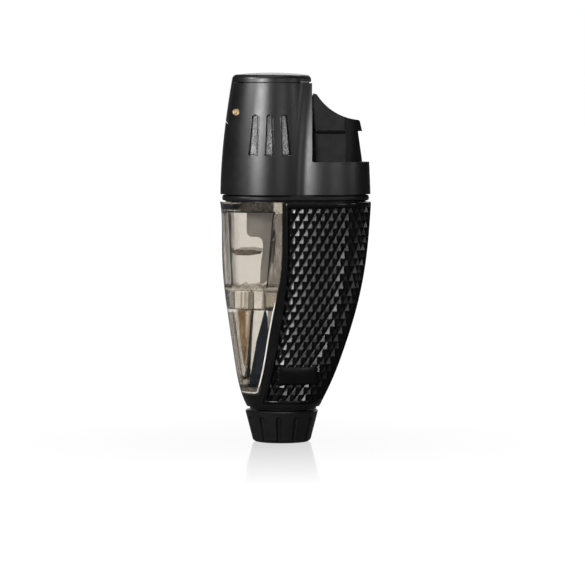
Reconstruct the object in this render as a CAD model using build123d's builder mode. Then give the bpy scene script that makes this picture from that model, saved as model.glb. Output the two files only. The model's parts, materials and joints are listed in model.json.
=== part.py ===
"""Pocket jet lighter: flip lid, thumb trigger, see-through fuel tank, knob at the foot.

Millimetres, +Z up. The origin is the centre of the adjuster knob's flat foot. +X points to
the trigger, -X to the lid's hinge, and the lighter's two broad sides face -Y and +Y.
"""
from build123d import *
import math
import os

os.makedirs("parts", exist_ok=True)

# ---- Driving dimensions: heights ----
knob_top = 7.1
body_bottom = 7.9
body_top = 52.9
head_bottom = 54.5
band_top = 61.6
head_top = 78.8
lid_seam = 0.25
lid_top = 81.1

# ---- Driving dimensions: the body's egg-shaped plan at each station ----
# height, frontmost x, rearmost x, radius of the front end, radius of the rear end
stations = [
    (body_bottom, -7.70, 8.35, 7.85, 7.80),
    (13.4, -9.60, 11.04, 8.50, 7.80),
    (20.0, -10.70, 13.58, 9.00, 7.80),
    (28.8, -11.98, 16.32, 9.60, 7.95),
    (39.8, -13.07, 18.53, 10.15, 8.30),
    (body_top, -13.57, 19.67, 10.40, 8.60),
]
grip_depth = 1.8        # how far the grip and the rails are let into the body
tank_wall = 2.0
seam = 0.06             # hairline gap between neighbouring covers

# ---- Driving dimensions: head ----
# height, centre x and radius of the round barrel; then the same for the rear lobe's ellipse
barrel = [(head_bottom, -2.98, 10.50), (62.0, -2.85, 10.31), (70.0, -2.60, 9.75), (lid_top, -2.20, 8.45)]
lobe = [(head_bottom, 8.60, 10.92, 8.70), (band_top, 8.45, 10.78, 8.30), (lid_top, 7.50, 10.00, 4.60)]
head_wall = 1.5
barrel_back = 6.66      # flat back of the barrel, where the trigger slides
pin_x, pin_z, pin_r = -9.95, 72.5, 0.82
slot_half = 3.4         # half width of the slot for the lid's arm
arm_gap = 0.2           # side gap between the arm and its slot
arm_end_r = 3.05        # the arm's lower end is round about the pin

# ---- Driving dimensions: mechanism ----
burner_x = -2.3
valve_x = -4.7
piezo_x = 11.5
trigger_travel = 4.0
skirt_bottom = 56.4 + trigger_travel    # the skirt stops just above the floor plate
lever_x, lever_z = 2.4, 56.45
plate_top = 55.3        # top of the chassis plate


def save(builder, name):
    """Label a finished piece and write its STEP file."""
    builder.part.label = name
    export_step(builder.part, f"parts/{name}.step")


def egg(height, station, inset=0.0):
    """Level face between two circles and their common tangent lines."""
    front_x, back_x, front_r, back_r = station
    front_centre, back_centre = front_x + front_r, back_x - back_r
    tilt = math.asin((front_r - back_r) / (back_centre - front_centre))
    near, far = front_r - inset, back_r - inset
    front = (front_centre + near * math.sin(tilt), near * math.cos(tilt))
    back = (back_centre + far * math.sin(tilt), far * math.cos(tilt))
    with BuildSketch(Plane.XY.offset(height)) as outline:
        with BuildLine():
            Line(front, back)
            ThreePointArc(back, (back_centre + far, 0), (back[0], -back[1]))
            Line((back[0], -back[1]), (front[0], -front[1]))
            ThreePointArc((front[0], -front[1]), (front_centre - near, 0), front)
        make_face()
    return outline.sketch


def body_solid(inset=0.0):
    """The whole body's outer form, drawn in by an even inset."""
    with BuildPart() as solid:
        loft([egg(height, station, inset).face() for height, *station in stations])
    return solid.part


def barrel_solid(inset=0.0):
    """The head's round barrel, from its bottom edge up past the lid."""
    with BuildPart() as solid:
        for height, centre, radius in barrel:
            with BuildSketch(Plane.XY.offset(height)):
                with Locations((centre, 0)):
                    Circle(radius - inset)
        loft()
    return solid.part


def lobe_solid(inset=0.0):
    """The head's rear lobe, from its bottom edge up past the lid."""
    with BuildPart() as solid:
        for height, centre, half_length, half_depth in lobe:
            with BuildSketch(Plane.XY.offset(height)):
                with Locations((centre, 0)):
                    Ellipse(half_length - inset, half_depth - inset)
        loft()
    return solid.part


def block(x_range, y_range, z_range):
    """Box between two opposite corners, as a separate solid."""
    (x0, x1), (y0, y1), (z0, z1) = x_range, y_range, z_range
    with BuildPart() as solid:
        with Locations(((x0 + x1) / 2, (y0 + y1) / 2, (z0 + z1) / 2)):
            Box(x1 - x0, y1 - y0, z1 - z0)
    return solid.part


def upright(x, radius, low, high, y=0.0):
    """Vertical cylinder between two heights, as a separate solid."""
    with BuildPart() as solid:
        with BuildSketch(Plane.XY.offset(low)):
            with Locations((x, y)):
                Circle(radius)
        extrude(amount=high - low)
    return solid.part


def cross_rod(x, z, radius, half_width):
    """Cylinder along Y, centred on the middle plane, as a separate solid."""
    with BuildPart() as solid:
        with BuildSketch(Plane.XZ):
            with Locations((x, z)):
                Circle(radius)
        extrude(amount=half_width, both=True)
    return solid.part


def coil_spring(name, x, low, high, coil_r, wire_r, turns):
    """Compression spring standing at x."""
    with BuildPart() as spring:
        with BuildLine() as line:
            Helix((high - low - 2 * wire_r) / turns, high - low - 2 * wire_r, coil_r,
                  center=(x, 0, low + wire_r))
        with BuildSketch(Plane(line.line @ 0, z_dir=line.line % 0)):
            Circle(wire_r)
        sweep(is_frenet=True)
    save(spring, name)


everything = 40.0       # reach of cutting blocks, beyond the whole lighter
body_outer = body_solid()
body_middle = body_solid(grip_depth)
body_core = body_solid(grip_depth + seam)

# ================= Body =================

# Side outline of the see-through window: a straight rear edge that sweeps forward to the tip.
with BuildPart() as window_zone:
    with BuildSketch(Plane.XZ):
        with BuildLine():
            Polyline((-4.9, 11.0), (-5.7, 10.6), (-everything, 10.6), (-everything, 60), (0.2, 60), (0.2, 42))
            Spline((0.2, 42), (-2.26, 23.8), (-4.9, 11.0), tangents=((0, -1), (-0.35, -1)))
        make_face()
    extrude(amount=20, both=True)

# Side outline of the textured grip, behind a narrow black rail.
with BuildPart() as grip_zone:
    with BuildSketch(Plane.XZ):
        with BuildLine():
            Polyline((0.9, 42), (0.9, body_top - seam), (everything, body_top - seam), (everything, 8.8),
                     (-4.2, 8.8))
            Spline((-4.2, 8.8), (-0.9, 24.2), (0.9, 42), tangents=((0.25, 1), (0, 1)))
        make_face()
    extrude(amount=20, both=True)

# Upper chamber, tapered like the window, and the pointed lower chamber.
with BuildPart() as chambers:
    with BuildSketch(Plane.XZ):
        Polygon((-10.9, 50.6), (-1.8, 50.6), (-3.1, 34.0), (-10.2, 34.0), align=None)
        Polygon((-10.0, 29.5), (-3.4, 29.5), (-6.7, 12.6), (-8.2, 12.6), align=None)
    extrude(amount=20, both=True)
    add(body_solid(tank_wall), mode=Mode.INTERSECT)

refill_r = 3.2
cup_bore = 5.4
cup_floor = 11.2
piezo_half, piezo_half_y = 2.9, 2.9
pocket_gap = 0.3
pocket = block((piezo_x - piezo_half - pocket_gap, piezo_x + piezo_half + pocket_gap),
               (-piezo_half_y - pocket_gap, piezo_half_y + pocket_gap), (38.0, 60))
valve_r = 1.9
screw_spots = [(9.0, 5.6), (9.0, -5.6), (16.3, 0.0)]
screw_r = 0.6

with BuildPart() as fuel_tank:
    add(body_outer)
    add(window_zone.part, mode=Mode.INTERSECT)
    with BuildPart(mode=Mode.PRIVATE) as core:
        add(body_core)
        add(block((-everything, everything), (-20, 20), (12.4, body_top)), mode=Mode.INTERSECT)
    add(core.part)
    add(chambers.part, mode=Mode.SUBTRACT)
    add(upright(-6.3, 0.5, 29.0, 34.5), mode=Mode.SUBTRACT)
    with BuildPart(mode=Mode.PRIVATE) as rear_chamber:
        add(body_solid(grip_depth + tank_wall))
        add(block((1.6, everything), (-20, 20), (14.4, 36.0)), mode=Mode.INTERSECT)
    add(rear_chamber.part, mode=Mode.SUBTRACT)
    add(pocket, mode=Mode.SUBTRACT)
    add(block((-8.4, -1.9), (-3.6, 3.6), (50.0, 60)), mode=Mode.SUBTRACT)
    add(upright(0, refill_r, 5, 13.4), mode=Mode.SUBTRACT)
    add(upright(0, 0.7, 13.0, 14.8), mode=Mode.SUBTRACT)
    for spot_x, spot_y in screw_spots:
        add(upright(spot_x, screw_r, 50.4, 60, spot_y), mode=Mode.SUBTRACT)
save(fuel_tank, "fuel_tank")

# Plate that closes the tank's mouth and carries the release valve.
with BuildPart() as tank_lid:
    with BuildSketch(Plane.XY.offset(50.7)):
        with Locations((-5.15, 0)):
            RectangleRounded(6.4, 7.1, 0.5)
    extrude(amount=body_top - 50.7)
    add(upright(valve_x, valve_r, 40, 60), mode=Mode.SUBTRACT)
save(tank_lid, "tank_lid")

# Grey valve block with a blade down the chamber's rear wall.
with BuildPart() as tank_partition:
    with BuildSketch(Plane.XZ):
        with BuildLine():
            Polyline((-2.3, 45.2), (-2.05, 50.5), (-7.6, 50.5), (-7.6, 46.4))
            Polyline((-2.3, 45.2), (-3.2, 35.6), (-3.8, 34.9), (-4.7, 34.9))
            Spline((-4.7, 34.9), (-4.3, 41.0), (-5.4, 45.2), tangents=((0, 1), (-1, 0.1)))
            Polyline((-5.4, 45.2), (-6.6, 45.2))
            ThreePointArc((-6.6, 45.2), (-7.3, 45.6), (-7.6, 46.4))
        make_face()
    extrude(amount=3.2, both=True)
    add(upright(valve_x, valve_r, 46.2, 60), mode=Mode.SUBTRACT)
save(tank_partition, "tank_partition")

# Amber filter wick, tapered like the pointed chamber it stands in.
with BuildPart() as filter_wick:
    for height, centre, radius in [(14.0, -7.2, 0.25), (29.4, -8.25, 0.85)]:
        with BuildSketch(Plane.XY.offset(height)):
            with Locations((centre, 0)):
                Circle(radius)
    loft()
save(filter_wick, "filter_wick")

# Black frame: a cup under the tank with a slim rail up each side, between window and grip.
with BuildPart() as body_frame:
    add(body_outer)
    add(window_zone.part, mode=Mode.SUBTRACT)
    add(grip_zone.part, mode=Mode.SUBTRACT)
    add(body_core, mode=Mode.SUBTRACT)
    add(block((-everything, everything), (-20, 20), (body_bottom, body_top - seam)), mode=Mode.INTERSECT)
    with BuildPart(mode=Mode.PRIVATE) as cup:
        add(body_core)
        add(block((-everything, everything), (-20, 20), (body_bottom, 12.4 - seam)), mode=Mode.INTERSECT)
        add(window_zone.part, mode=Mode.SUBTRACT)
    add(cup.part)
    add(upright(0, cup_bore, 5, cup_floor), mode=Mode.SUBTRACT)
    add(upright(0, refill_r, 5, 14), mode=Mode.SUBTRACT)
save(body_frame, "body_frame")

# Wrap-round grip; its raised pyramids stand within this thickness.
with BuildPart() as grip_cover:
    add(body_outer)
    add(grip_zone.part, mode=Mode.INTERSECT)
    with BuildPart(mode=Mode.PRIVATE) as grip_hollow:
        add(body_middle)
    add(grip_hollow.part, mode=Mode.SUBTRACT)
save(grip_cover, "grip_cover")

# Collar between body and head: a recessed neck with a rounded bead round it.
top_plan = stations[-1][1:]
bead_low, bead_high = body_top + 0.2, head_bottom - 0.2
with BuildPart() as collar_ring:
    extrude(egg(bead_low, top_plan, inset=0.5), amount=bead_high - bead_low)
    fillet(collar_ring.edges().filter_by(Axis.Z, reverse=True), radius=0.4)
    extrude(egg(body_top, top_plan, inset=1.2), amount=head_bottom - body_top)
    extrude(egg(body_top - 1, top_plan, inset=3.0), amount=5, mode=Mode.SUBTRACT)
    for spot_x, spot_y in screw_spots:
        add(upright(spot_x, screw_r, 50, 60, spot_y), mode=Mode.SUBTRACT)
save(collar_ring, "collar_ring")

# ================= Foot: flame adjuster and refill valve =================

knob_foot_r = 6.45
knob_rim_r = 8.0
knob_hole = 4.0
spindle_r = cup_bore - 0.1
flutes = 12
flute_r = 0.58
flute_top = 5.3
knob_lean = math.degrees(math.atan((knob_rim_r - knob_foot_r) / (knob_top - 0.9)))

with BuildPart() as flute:
    with Locations(Location((knob_foot_r + 1.16, 0, flute_top), (0, knob_lean, 0))):
        Sphere(flute_r)
        Cylinder(flute_r, 8, align=(Align.CENTER, Align.CENTER, Align.MAX))

with BuildPart() as adjuster_knob:
    with BuildSketch(Plane.XZ):
        with BuildLine():
            Polyline((knob_hole, 0), (5.5, 0))
            ThreePointArc((5.5, 0), (6.17, 0.31), (6.53, 1.1))
            Polyline((6.53, 1.1), (knob_rim_r, knob_top - 0.3), (knob_rim_r - 0.3, knob_top), (6.0, knob_top),
                     (6.0, 2.5), (knob_hole, 2.5), (knob_hole, 0))
        make_face()
    revolve(axis=Axis.Z)
    with PolarLocations(0, flutes, start_angle=25):
        add(flute.part, mode=Mode.SUBTRACT)
save(adjuster_knob, "adjuster_knob")

# Sleeve that carries the knob and turns in the cup, round the refill valve.
with BuildPart() as adjuster_spindle:
    with BuildSketch(Plane.XY.offset(2.5)):
        Circle(6.0)
        Circle(knob_hole, mode=Mode.SUBTRACT)
    extrude(amount=1.5)
    with BuildSketch(Plane.XY.offset(2.5)):
        Circle(spindle_r)
        Circle(knob_hole, mode=Mode.SUBTRACT)
    extrude(amount=cup_floor - 0.4 - 2.5)
save(adjuster_spindle, "adjuster_spindle")

with BuildPart() as knob_o_ring:
    with Locations((0, 0, 6.3)):
        Torus(5.65, 0.33)
save(knob_o_ring, "knob_o_ring")

# Narrow dark neck between knob and cup.
with BuildPart() as neck_bush:
    with BuildSketch(Plane.XY.offset(knob_top + 0.25)):
        with Locations((0.3, 0)):
            Circle(7.3)
        Circle(cup_bore, mode=Mode.SUBTRACT)
    extrude(amount=body_bottom - knob_top - 0.25)
save(neck_bush, "neck_bush")

refill_foot = 1.0
refill_port_r, refill_port_length = 1.9, 2.0
refill_port_top = refill_foot + refill_port_length
refill_stem_r = 0.8
refill_top = 13.0
with BuildPart() as refill_valve_body:
    with BuildSketch(Plane.XZ):
        Polygon((refill_port_r, refill_foot), (refill_r, refill_foot), (refill_r, refill_top),
                (0.9, refill_top), (0.9, 11.8), (2.1, 11.8), (2.1, 4.6), (0.88, 4.6),
                (0.88, refill_port_top), (refill_port_r, refill_port_top), align=None)
    revolve(axis=Axis.Z)
    chamfer(refill_valve_body.edges().group_by(Axis.Z)[0].sort_by(SortBy.RADIUS)[-1], length=0.3)
save(refill_valve_body, "refill_valve_body")

with BuildPart() as refill_valve_stem:
    with BuildSketch(Plane.XZ):
        Polygon((0, refill_port_top + 0.1), (refill_stem_r, refill_port_top + 0.1), (refill_stem_r, 5.5),
                (1.9, 5.5), (1.9, 6.3), (0.6, 6.3), (0.6, 9.2), (0, 9.2), align=None)
    revolve(axis=Axis.Z)
save(refill_valve_stem, "refill_valve_stem")

with BuildPart() as refill_valve_seal:
    with BuildSketch(Plane.XY.offset(4.7)):
        Circle(1.9)
        Circle(refill_stem_r, mode=Mode.SUBTRACT)
    extrude(amount=0.8)
save(refill_valve_seal, "refill_valve_seal")

coil_spring("refill_valve_spring", 0, 6.35, 11.75, coil_r=1.3, wire_r=0.18, turns=6)

# ================= Head =================

upper_cut = block((barrel_back, everything), (-20, 20), (band_top, lid_top + 5))
inner_limit = block((barrel_back - head_wall, everything), (-20, 20), (band_top - 1.2, lid_top + 5))
arm_slot = block((-everything, pin_x + 1.6), (-slot_half, slot_half), (pin_z, lid_top + 5))
ellipse_centre = lobe[1][1]


def lobe_prism(shrink, low, high, half_width):
    """Upright prism with the rear lobe's plan, drawn in, and flat at the sides."""
    with BuildPart() as solid:
        with BuildSketch(Plane.XY.offset(low)):
            with Locations((ellipse_centre, 0)):
                Ellipse(lobe[1][2] - shrink, lobe[1][3] - shrink)
        extrude(amount=high - low)
        add(block((-everything, everything), (-half_width, half_width), (low, high)), mode=Mode.INTERSECT)
    return solid.part


def groove(top_left, top_right, bottom_left, bottom_right):
    """Slanted decorative groove with a round top, as seen from the side."""
    low, high = 63.05, 71.3
    with BuildPart() as solid:
        with BuildSketch(Plane.XZ):
            with BuildLine():
                Polyline((top_right, high), (bottom_right, low), (bottom_left, low), (top_left, high))
                ThreePointArc((top_left, high), ((top_left + top_right) / 2, high + 0.66), (top_right, high))
            make_face()
        extrude(amount=20, both=True)
    return solid.part


groove_depth = 0.45
rib_half, rib_depth, rib_top = 2.6, 0.8, 76.2   # upright rib that guides the trigger
with BuildPart() as grooves:
    for edges in [(-6.45, -4.88, -7.17, -5.2), (-3.3, -1.9, -3.6, -1.56), (-0.2, 1.3, 0.09, 2.16)]:
        add(groove(*edges))
    add(barrel_solid(groove_depth), mode=Mode.SUBTRACT)

with BuildPart() as head_outer:
    add(barrel_solid())
    add(lobe_solid())
    waist = head_outer.edges().filter_by(lambda e: e.bounding_box().size.Z > 20
                                         and 2.0 < e.center().X < 7.0 and abs(e.center().Y) > 3)
    fillet(waist, radius=3.5)

with BuildPart() as head_shell:
    add(head_outer.part)
    add(block((-everything, everything), (-20, 20), (head_bottom, head_top)), mode=Mode.INTERSECT)
    add(upper_cut, mode=Mode.SUBTRACT)
    with BuildPart(mode=Mode.PRIVATE) as head_hollow:
        add(barrel_solid(head_wall))
        add(lobe_solid(head_wall))
        add(inner_limit, mode=Mode.SUBTRACT)
    add(head_hollow.part, mode=Mode.SUBTRACT)
    with BuildPart(mode=Mode.PRIVATE) as trigger_way:
        add(lobe_prism(1.25, 58.0, 70.0, 5.75))
        add(block((barrel_back, everything), (-20, 20), (58.0, 70.0)), mode=Mode.INTERSECT)
    add(trigger_way.part, mode=Mode.SUBTRACT)
    with BuildPart(mode=Mode.PRIVATE) as lid_way:
        add(arm_slot)
        add(cross_rod(pin_x, pin_z, arm_end_r + arm_gap, slot_half))
    add(lid_way.part, mode=Mode.SUBTRACT)
    add(cross_rod(pin_x, pin_z, pin_r, 20), mode=Mode.SUBTRACT)
    add(grooves.part, mode=Mode.SUBTRACT)
    add(block((barrel_back - 0.5, barrel_back + rib_depth), (-rib_half, rib_half), (band_top - 0.8, rib_top)))
save(head_shell, "head_shell")

# Lid: a crowned cap with a liner recess, and an arm down the front to the hinge pin.
cap_bottom = head_top + lid_seam
liner_r, liner_depth, liner_drop = 6.4, 0.85, 0.45
crown_r = 71.0          # radius of the lid's gently domed top
with BuildPart() as lid_cap:
    add(head_outer.part)
    add(block((-everything, barrel_back - 0.2), (-20, 20), (cap_bottom, lid_top)), mode=Mode.INTERSECT)
    with Locations((burner_x, 0, lid_top - crown_r)):
        Sphere(crown_r, mode=Mode.INTERSECT)
    fillet(lid_cap.faces().sort_by(Axis.Z)[-1].edges(), radius=1.1)
    with BuildPart(mode=Mode.PRIVATE) as lid_arm:
        add(barrel_solid())
        add(barrel_solid(2.7), mode=Mode.SUBTRACT)
        add(block((-everything, pin_x + 1.4), (-slot_half + arm_gap, slot_half - arm_gap),
                  (pin_z, cap_bottom + 0.5)), mode=Mode.INTERSECT)
    add(lid_arm.part)
    with BuildPart(mode=Mode.PRIVATE) as arm_end:
        add(barrel_solid())
        add(cross_rod(pin_x, pin_z, arm_end_r, slot_half - arm_gap), mode=Mode.INTERSECT)
        add(block((pin_x + 1.6, everything), (-20, 20), (60, 90)), mode=Mode.SUBTRACT)
    add(arm_end.part)
    add(cross_rod(pin_x, pin_z, pin_r + 0.05, 20), mode=Mode.SUBTRACT)
    add(cross_rod(pin_x, pin_z, 1.45, 1.7), mode=Mode.SUBTRACT)
    add(block((pin_x, everything), (-1.7, 1.7), (pin_z - 4, pin_z + 1.45)), mode=Mode.SUBTRACT)
    add(upright(burner_x, liner_r + 0.1, cap_bottom - 1, cap_bottom + liner_depth), mode=Mode.SUBTRACT)
save(lid_cap, "lid_cap")

with BuildPart() as lid_liner:
    with BuildSketch(Plane.XY.offset(cap_bottom - liner_drop)):
        with Locations((burner_x, 0)):
            Circle(liner_r)
    extrude(amount=liner_drop + liner_depth)
    chamfer(lid_liner.edges().group_by(Axis.Z)[0], length=0.25)
save(lid_liner, "lid_liner")

with BuildPart() as lid_pin:
    add(cross_rod(pin_x, pin_z, pin_r, 5.3))
    chamfer(lid_pin.edges(), length=0.12)
save(lid_pin, "lid_pin")

# Torsion spring wound round the pin, between the arm's two eyes.
with BuildPart() as lid_spring:
    with BuildLine() as spring_line:
        Helix(0.52, 2.6, 1.1, center=(pin_x, -1.3, pin_z), direction=(0, 1, 0))
    with BuildSketch(Plane(spring_line.line @ 0, z_dir=spring_line.line % 0)):
        Circle(0.14)
    sweep(is_frenet=True)
save(lid_spring, "lid_spring")

# ================= Trigger =================

rear_edge_low, rear_edge_high = 17.67, 16.7
button_half, skirt_half = 5.6, 5.4
button_low = 68.3
front_face = barrel_back + 0.25
rib_way = block((0, barrel_back + rib_depth + 0.2), (-rib_half - 0.2, rib_half + 0.2), (50, 90))

with BuildPart() as trigger_button:
    with BuildSketch(Plane.XZ):
        with BuildLine():
            Polyline((front_face, 69.7), (front_face, 76.6), (7.7, 76.35))
            ThreePointArc((7.7, 76.35), (10.9, 72.95), (16.8, 70.75))
            Polyline((16.8, 70.75), (17.12, 70.55), (17.66, button_low), (8.3, button_low))
            ThreePointArc((8.3, button_low), (7.3, 68.75), (front_face, 69.7))
        make_face()
    extrude(amount=button_half, both=True)
    add(lobe_prism(1.5, 60, 80, button_half), mode=Mode.INTERSECT)
    add(rib_way, mode=Mode.SUBTRACT)
save(trigger_button, "trigger_button")

skirt_wall = 1.2
with BuildPart() as trigger_slider:
    with BuildPart(mode=Mode.PRIVATE) as skirt_outer:
        add(lobe_prism(1.56, skirt_bottom, button_low, skirt_half))
        with BuildPart(mode=Mode.PRIVATE) as skirt_profile:
            with BuildSketch(Plane.XZ):
                Polygon((front_face + 0.1, skirt_bottom), (rear_edge_low, skirt_bottom),
                        (rear_edge_low, 61.8), (rear_edge_high, button_low),
                        (front_face + 0.1, button_low), align=None)
            extrude(amount=20, both=True)
        add(skirt_profile.part, mode=Mode.INTERSECT)
    add(skirt_outer.part)
    with BuildPart(mode=Mode.PRIVATE) as skirt_inner:
        add(lobe_prism(1.56 + skirt_wall, skirt_bottom, button_low - 1.5, skirt_half - skirt_wall))
        add(block((piezo_x - piezo_half - 0.3, 15.6), (-20, 20), (skirt_bottom, button_low)),
            mode=Mode.INTERSECT)
    add(skirt_inner.part, mode=Mode.SUBTRACT)
    add(rib_way, mode=Mode.SUBTRACT)
save(trigger_slider, "trigger_slider")

# ================= Spark generator =================

plunger_low = 50.0
case_top = 58.4
with BuildPart() as piezo_case:
    add(block((piezo_x - piezo_half, piezo_x + piezo_half), (-piezo_half_y, piezo_half_y), (38.1, case_top)))
    fillet(piezo_case.edges().filter_by(Axis.Z), radius=0.5)
    add(block((piezo_x - 2.1, piezo_x + 2.1), (-2.1, 2.1), (39.2, case_top + 1)), mode=Mode.SUBTRACT)
save(piezo_case, "piezo_case")

with BuildPart() as piezo_crystal:
    with BuildSketch(Plane.XY.offset(39.2)):
        with Locations((piezo_x, 0)):
            Circle(1.5)
    extrude(amount=4.0)
save(piezo_crystal, "piezo_crystal")

with BuildPart() as piezo_plunger:
    add(block((piezo_x - 2.0, piezo_x + 2.0), (-2.0, 2.0), (plunger_low, button_low - 1.5)))
    chamfer(piezo_plunger.edges().group_by(Axis.Z)[-1], length=0.3)
save(piezo_plunger, "piezo_plunger")

coil_spring("piezo_spring", piezo_x, 43.3, plunger_low - 0.05, coil_r=1.6, wire_r=0.2, turns=7)

# ================= Gas release =================

seal_low, seal_top = 47.1, 47.9
valve_lift = 0.74
valve_chamber_top = seal_top + valve_lift + 0.36
with BuildPart() as release_valve_body:
    with BuildSketch(Plane.XZ):
        Polygon((0.78, valve_chamber_top), (0.78, 55.6), (valve_r, 55.6), (valve_r, 46.2), (0.5, 46.2),
                (0.5, 46.9), (1.45, 46.9), (1.45, valve_chamber_top), align=None)
    revolve(axis=Axis.Z)
release_valve_body.part.locate(Location((valve_x, 0, 0)))
save(release_valve_body, "release_valve_body")

flange_low = 57.1
stem_r = 0.7
stem_top = 60.3
with BuildPart() as release_valve_stem:
    add(upright(valve_x, stem_r, seal_top, stem_top))
    add(upright(valve_x, 1.7, flange_low, flange_low + 0.5))
    add(upright(valve_x, 0.3, 50.0, stem_top + 1), mode=Mode.SUBTRACT)
save(release_valve_stem, "release_valve_stem")

with BuildPart() as release_valve_seal:
    add(upright(valve_x, 1.2, seal_low, seal_top))
save(release_valve_seal, "release_valve_seal")

bridge_low, bridge_high = 59.2, 59.9
coil_spring("release_valve_spring", valve_x, flange_low + 0.52, bridge_low - 0.02, coil_r=1.15,
            wire_r=0.14, turns=3)

lever_half = 1.4
with BuildPart() as valve_lever:
    add(block((-5.5, 8.25), (-lever_half, lever_half), (56.0, 56.9)))
    add(cross_rod(lever_x, lever_z, 1.3, lever_half))
    with BuildPart(mode=Mode.PRIVATE) as fork_slot:
        add(upright(valve_x, 0.9, 50, 70))
        add(block((-20, valve_x), (-0.9, 0.9), (50, 70)))
    add(fork_slot.part, mode=Mode.SUBTRACT)
    add(cross_rod(lever_x, lever_z, 0.65, 10), mode=Mode.SUBTRACT)
save(valve_lever, "valve_lever")

with BuildPart() as valve_lever_pin:
    add(cross_rod(lever_x, lever_z, 0.6, 4.3))
save(valve_lever_pin, "valve_lever_pin")

# Chassis: a floor plate on the collar, two side walls and a bridge over the valve.
wall_top = 63.4
wall_in, wall_out = 3.3, 4.3
with BuildPart() as chassis:
    with BuildPart(mode=Mode.PRIVATE) as floor_outline:
        add(barrel_solid(head_wall + 0.15))
        add(lobe_solid(head_wall + 0.15))
        add(block((-everything, everything), (-20, 20), (head_bottom, plate_top)), mode=Mode.INTERSECT)
    add(floor_outline.part)
    for side in (-1, 1):
        y_range = sorted((side * wall_in, side * wall_out))
        add(block((-7.0, 0.6), y_range, (head_bottom, wall_top)))
        add(block((0.0, 3.9), y_range, (head_bottom, 58.0)))
    add(block((-6.8, -2.2), (-wall_out, wall_out), (bridge_low, bridge_high)))
    add(upright(valve_x, valve_r + 0.05, 50, 57), mode=Mode.SUBTRACT)
    add(upright(valve_x, stem_r + 0.1, 50, 70), mode=Mode.SUBTRACT)
    add(block((piezo_x - piezo_half, piezo_x + piezo_half), (-piezo_half_y, piezo_half_y), (50, 70)),
        mode=Mode.SUBTRACT)
    add(block((0.7, piezo_x), (-1.8, 1.8), (50, 57)), mode=Mode.SUBTRACT)
    add(cross_rod(lever_x, lever_z, 0.6, 10), mode=Mode.SUBTRACT)
    for spot_x, spot_y in screw_spots:
        add(upright(spot_x, screw_r, 50, 60, spot_y), mode=Mode.SUBTRACT)
save(chassis, "chassis")

with BuildPart() as chassis_screws:
    for spot_x, spot_y in screw_spots:
        add(upright(spot_x, screw_r, 50.9, plate_top, spot_y))
        add(upright(spot_x, 1.1, plate_top, plate_top + 0.6, spot_y))
        with Locations((spot_x, spot_y, plate_top + 0.6)):
            Box(1.6, 0.3, 0.5, mode=Mode.SUBTRACT)
            Box(0.3, 1.6, 0.5, mode=Mode.SUBTRACT)
save(chassis_screws, "chassis_screws")

# ================= Burner =================

tube_r, tube_wall = 3.0, 0.4
holder_top = 65.0
tube_top = 72.0
wire_y, wire_r = 4.95, 0.35
jet_r = 1.2

with BuildPart() as burner_holder:
    with BuildSketch(Plane.XY.offset(wall_top)):
        with Locations((burner_x, 0)):
            Circle(5.8)
            Circle(jet_r, mode=Mode.SUBTRACT)
        with Locations((burner_x, wire_y)):
            Circle(wire_r, mode=Mode.SUBTRACT)
    extrude(amount=holder_top - wall_top)
save(burner_holder, "burner_holder")

with BuildPart() as burner_orifice:
    add(upright(burner_x, jet_r, 62.9, 66.4))
    chamfer(burner_orifice.edges().group_by(Axis.Z)[-1], length=0.5)
    add(upright(burner_x, 0.3, 60, 70), mode=Mode.SUBTRACT)
save(burner_orifice, "burner_orifice")

with BuildPart() as burner_tube:
    add(upright(burner_x, tube_r, holder_top, tube_top))
    fillet(burner_tube.edges().group_by(Axis.Z)[-1], radius=0.3)
    add(upright(burner_x, tube_r - tube_wall, 60, 80), mode=Mode.SUBTRACT)
    with BuildSketch(Plane.XZ.offset(-10)):
        with Locations((burner_x, holder_top + 1.8)):
            Circle(0.6)
    extrude(amount=20, mode=Mode.SUBTRACT)
save(burner_tube, "burner_tube")

with BuildPart() as burner_ring:
    with BuildSketch(Plane.XY.offset(70.4)):
        with Locations((burner_x, 0)):
            Circle(tube_r - tube_wall)
            with PolarLocations(1.6, 6):
                Circle(0.42, mode=Mode.SUBTRACT)
            Circle(0.7, mode=Mode.SUBTRACT)
    extrude(amount=0.8)
save(burner_ring, "burner_ring")

with BuildPart() as ignition_electrode:
    with BuildLine() as electrode_line:
        FilletPolyline((burner_x, wire_y, 61.5), (burner_x, wire_y, 72.6), (burner_x, 2.4, 72.9), radius=0.8)
    with BuildSketch(Plane(electrode_line.line @ 0, z_dir=(0, 0, 1))):
        Circle(wire_r)
    sweep()
save(ignition_electrode, "ignition_electrode")

with BuildPart() as ignition_lead:
    with BuildLine() as lead_line:
        FilletPolyline((8.55, 2.3, 55.8), (6.2, wire_y, 55.8), (burner_x, wire_y, 55.8),
                       (burner_x, wire_y, 61.5), radius=1.2)
    with BuildSketch(Plane(lead_line.line @ 0, z_dir=lead_line.line % 0)):
        Circle(0.45)
    sweep()
save(ignition_lead, "ignition_lead")

with BuildPart() as gas_hose:
    with BuildLine() as hose_line:
        FilletPolyline((valve_x, 0, stem_top), (valve_x, 0, 61.4), (burner_x, 0, 62.0), (burner_x, 0, 62.9),
                       radius=0.45)
    with BuildSketch(Plane(hose_line.line @ 0, z_dir=(0, 0, 1))):
        Circle(0.7)
    sweep()
save(gas_hose, "gas_hose")

guard_low, guard_high = 73.4, 74.2
with BuildPart() as flame_guard:
    add(barrel_solid(head_wall + 0.1))
    add(block((-7.0, barrel_back - head_wall - 0.1), (-20, 20), (guard_low, guard_high)), mode=Mode.INTERSECT)
    add(upright(burner_x, 4.0, 70, 80), mode=Mode.SUBTRACT)
save(flame_guard, "flame_guard")
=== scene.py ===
"""Pocket jet lighter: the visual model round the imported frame, in metres."""
import json
import math

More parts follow.
